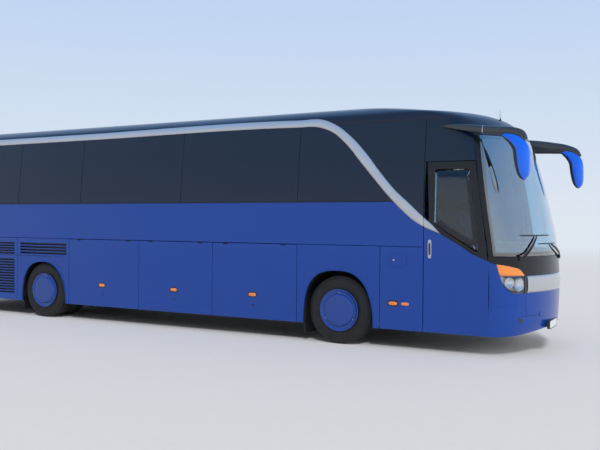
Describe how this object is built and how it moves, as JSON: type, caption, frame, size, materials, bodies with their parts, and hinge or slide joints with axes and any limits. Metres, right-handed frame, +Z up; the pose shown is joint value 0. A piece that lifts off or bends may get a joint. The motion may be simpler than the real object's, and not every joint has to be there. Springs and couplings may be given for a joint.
{
  "type": "coach bus",
  "caption": "High-floor touring coach with dark side glass, luggage flaps, swing-out entrance door, steered front wheels and twin rear wheels.",
  "frame": {"origin": "on the road under the middle of the whole outline", "axes": "+X forward, +Y to the coach's left, +Z up from the road"},
  "size_m": [12.358, 2.9, 3.6199],
  "materials": {
    "blue_paint": "gloss",
    "roof_paint": "gloss",
    "black_frame": "gloss",
    "silver_paint": "satin",
    "blue_cover": "gloss",
    "dark_glass": "polished",
    "clear_lens": "polished",
    "amber_lens": "gloss",
    "red_lens": "gloss",
    "black_plastic": "satin",
    "dark_plastic": "matte",
    "floor_cover": "matte",
    "seat_cloth": "woven",
    "dark_steel": "satin",
    "cast_metal": "rough",
    "black_rubber": "matte",
    "tyre_rubber": "matte"
  },
  "bodies": {
    "coach": {"roof": "roof_paint", "right_upper_wall": "black_frame", "left_upper_wall": "black_frame", "right_lower_wall": "blue_paint", "left_lower_wall": "blue_paint", "front_bumper": "blue_paint", "front_mask": "black_frame", "rear_wall": "blue_paint", "floor_deck": "floor_cover", "cab_floor": "floor_cover", "bay_frame": "dark_steel", "subframes": "dark_steel", "wheel_housings": "dark_steel", "windscreen": "dark_glass", "right_side_glass": "dark_glass", "left_side_glass": "dark_glass", "rear_window": "dark_glass", "side_trim": "silver_paint", "front_bar": "silver_paint", "headlamps": "clear_lens", "front_indicators": "amber_lens", "tail_lamps": "red_lens", "mirror_arms": "black_plastic", "mirror_covers": "blue_paint", "wipers": "black_plastic", "dashboard": "dark_plastic", "steering_wheel": "dark_plastic", "seats": "seat_cloth", "engine": "cast_metal", "front_axle": "dark_steel", "rear_axle": "dark_steel", "air_springs": "black_rubber", "mud_flaps": "black_rubber", "tow_sockets": "dark_steel"},
    "right_steering": {"right_knuckle": "dark_steel"},
    "left_steering": {"left_knuckle": "dark_steel"},
    "front_right_wheel": {"front_right_tyre": "tyre_rubber", "front_right_rim": "blue_cover"},
    "front_left_wheel": {"front_left_tyre": "tyre_rubber", "front_left_rim": "blue_cover"},
    "rear_right_wheels": {"rear_right_tyres": "tyre_rubber", "rear_right_rims": "blue_cover"},
    "rear_left_wheels": {"rear_left_tyres": "tyre_rubber", "rear_left_rims": "blue_cover"},
    "door_swing_arm": {"door_arm": "dark_steel"},
    "door": {"door_leaf": "blue_paint", "door_glass": "dark_glass"},
    "engine_lid": {"engine_lid": "blue_paint"},
    "right_flap_1": {"right_flap_1": "blue_paint"},
    "right_flap_2": {"right_flap_2": "blue_paint"},
    "right_flap_3": {"right_flap_3": "blue_paint"},
    "left_flap_1": {"left_flap_1": "blue_paint"},
    "left_flap_2": {"left_flap_2": "blue_paint"},
    "left_flap_3": {"left_flap_3": "blue_paint"}
  },
  "joints": [
    {"name": "right_steer", "type": "hinge", "parent": "coach", "child": "right_steering", "pos_m": [3.129, -1.04, 0.505], "axis": [0, 0, 1], "range_deg": [-50, 50]},
    {"name": "left_steer", "type": "hinge", "parent": "coach", "child": "left_steering", "pos_m": [3.129, 1.04, 0.505], "axis": [0, 0, 1], "range_deg": [-50, 50]},
    {"name": "front_right_spin", "type": "hinge", "parent": "right_steering", "child": "front_right_wheel", "pos_m": [3.129, -1.1, 0.505], "axis": [0, 1, 0], "continuous": true},
    {"name": "front_left_spin", "type": "hinge", "parent": "left_steering", "child": "front_left_wheel", "pos_m": [3.129, 1.1, 0.505], "axis": [0, 1, 0], "continuous": true},
    {"name": "rear_right_spin", "type": "hinge", "parent": "coach", "child": "rear_right_wheels", "pos_m": [-2.951, -0.93, 0.505], "axis": [0, 1, 0], "continuous": true},
    {"name": "rear_left_spin", "type": "hinge", "parent": "coach", "child": "rear_left_wheels", "pos_m": [-2.951, 0.93, 0.505], "axis": [0, 1, 0], "continuous": true},
    {"name": "door_arm_swing", "type": "hinge", "parent": "coach", "child": "door_swing_arm", "pos_m": [5.299, -1.174, 1.29], "axis": [0, 0, 1], "range_deg": [0, 149]},
    {"name": "door_leaf_turn", "type": "hinge", "parent": "door_swing_arm", "child": "door", "pos_m": [4.818, -1.14, 1.29], "axis": [0, 0, 1], "range_deg": [-149, 0]},
    {"name": "engine_lid_lift", "type": "hinge", "parent": "coach", "child": "engine_lid", "pos_m": [-6.15577, 0, 1.628], "axis": [0, 1, 0], "range_deg": [0, 85]},
    {"name": "right_flap_1_lift", "type": "hinge", "parent": "coach", "child": "right_flap_1", "pos_m": [-1.493, -1.269, 1.458], "axis": [-1, 0, 0], "range_deg": [0, 90]},
    {"name": "right_flap_2_lift", "type": "hinge", "parent": "coach", "child": "right_flap_2", "pos_m": [0.092, -1.269, 1.458], "axis": [-1, 0, 0], "range_deg": [0, 90]},
    {"name": "right_flap_3_lift", "type": "hinge", "parent": "coach", "child": "right_flap_3", "pos_m": [1.641, -1.269, 1.458], "axis": [-1, 0, 0], "range_deg": [0, 90]},
    {"name": "left_flap_1_lift", "type": "hinge", "parent": "coach", "child": "left_flap_1", "pos_m": [-1.493, 1.269, 1.458], "axis": [1, 0, 0], "range_deg": [0, 90]},
    {"name": "left_flap_2_lift", "type": "hinge", "parent": "coach", "child": "left_flap_2", "pos_m": [0.092, 1.269, 1.458], "axis": [1, 0, 0], "range_deg": [0, 90]},
    {"name": "left_flap_3_lift", "type": "hinge", "parent": "coach", "child": "left_flap_3", "pos_m": [1.641, 1.269, 1.458], "axis": [1, 0, 0], "range_deg": [0, 90]}
  ],
  "couplings": [
    {"joint": "left_steer", "follows": "right_steer", "ratio": 1},
    {"joint": "door_leaf_turn", "follows": "door_arm_swing", "ratio": -1}
  ]
}
